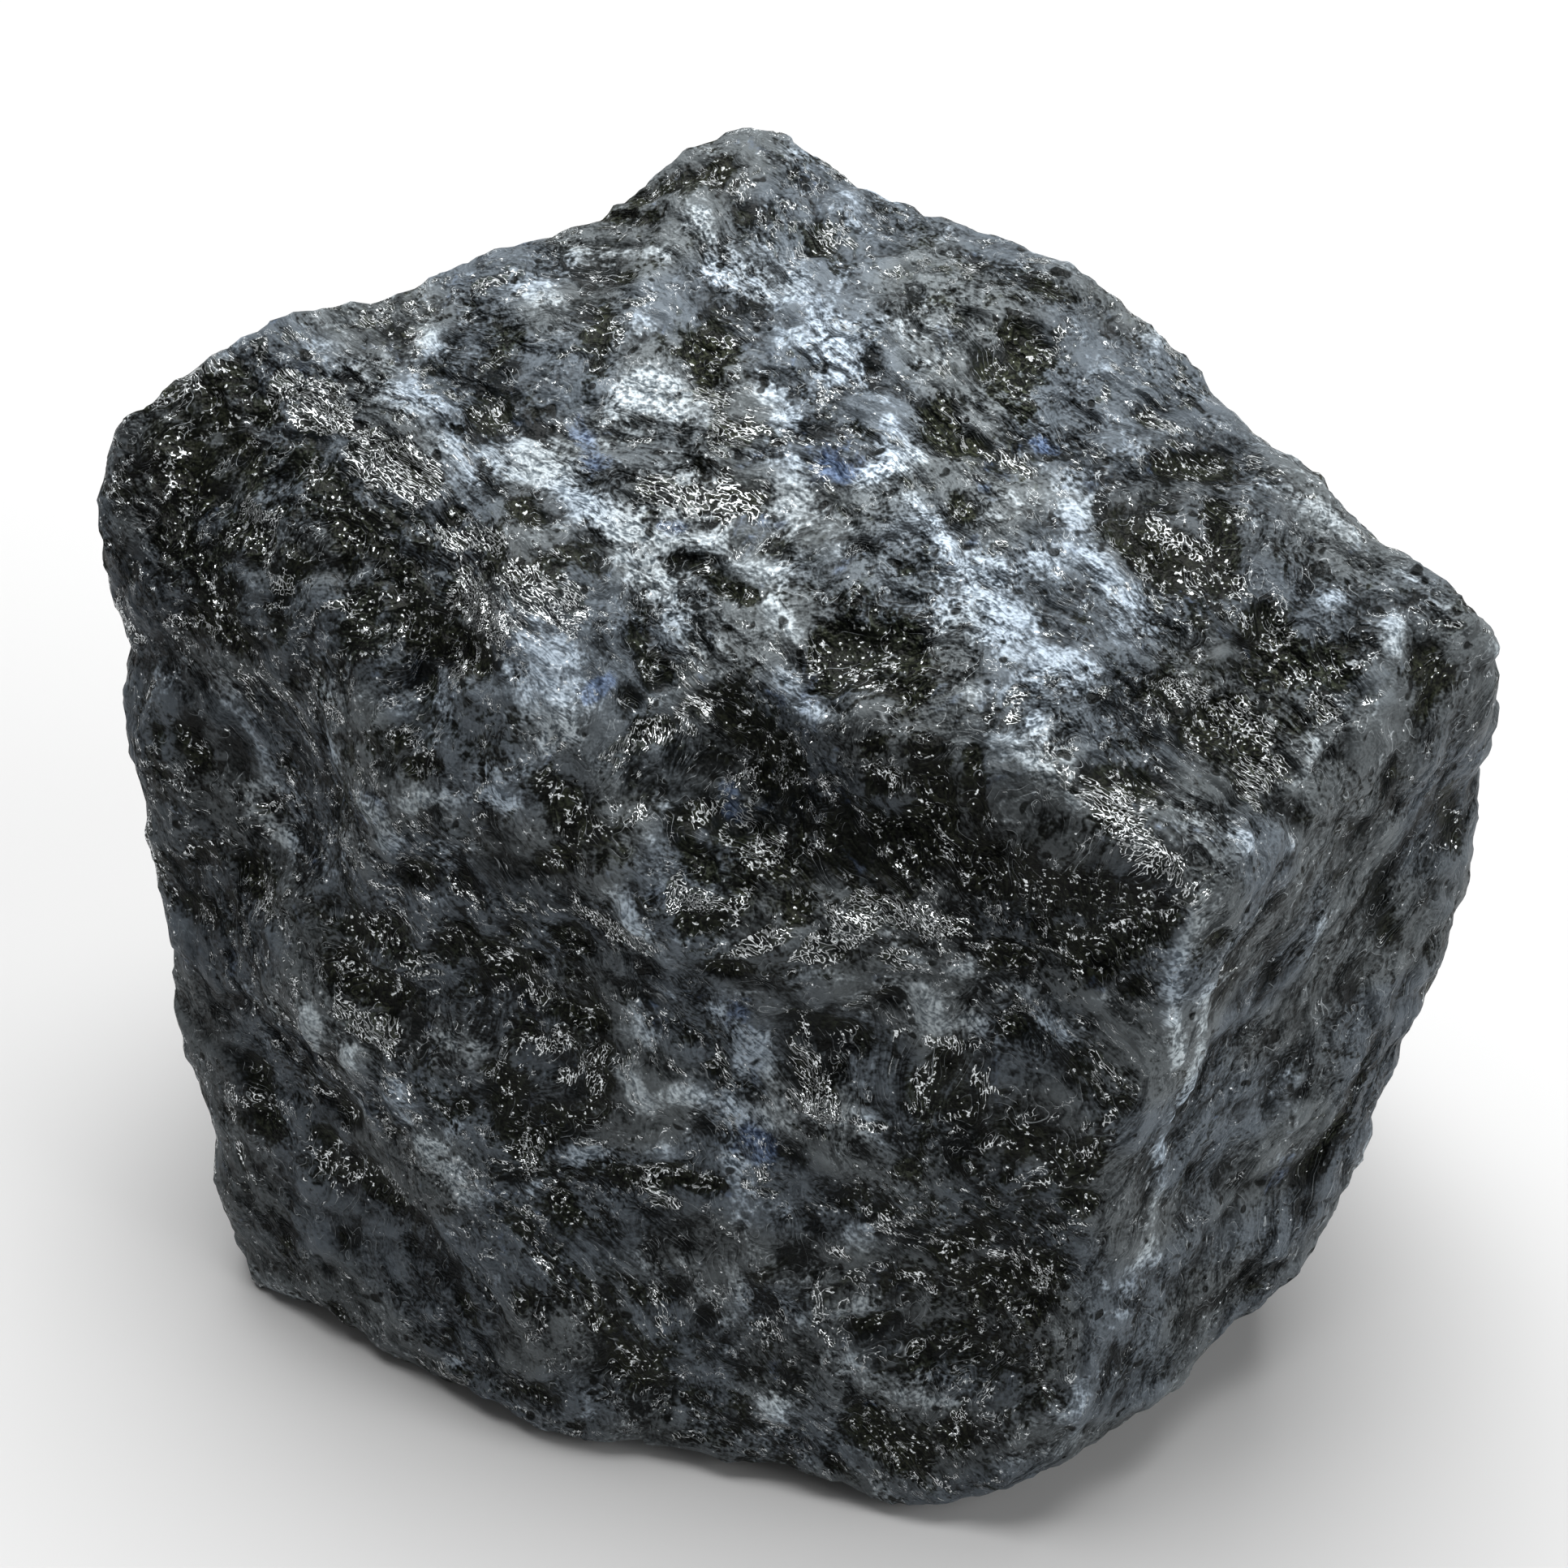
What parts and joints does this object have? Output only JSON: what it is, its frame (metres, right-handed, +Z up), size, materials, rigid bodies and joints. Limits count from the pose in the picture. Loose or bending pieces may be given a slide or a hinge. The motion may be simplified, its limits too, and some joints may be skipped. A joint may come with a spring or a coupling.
{
  "type": "rough larvikite stone",
  "caption": "Rough broken block of dark grey larvikite with glinting feldspar and dark green-black grains, lying on its flat base.",
  "frame": {"origin": "middle of the stone's bounding box seen from above, at the height of the surface it rests on", "axes": "+X to the right along the longest extent, +Y to the back, +Z up out of the top face"},
  "size_m": [0.0548, 0.0456, 0.0432],
  "materials": {
    "larvikite": "rough broken stone, mottled grey feldspar with glossy dark green-black grains and faint blue flashes"
  },
  "bodies": {
    "root": {"larvikite_stone": "larvikite"}
  },
  "joints": []
}
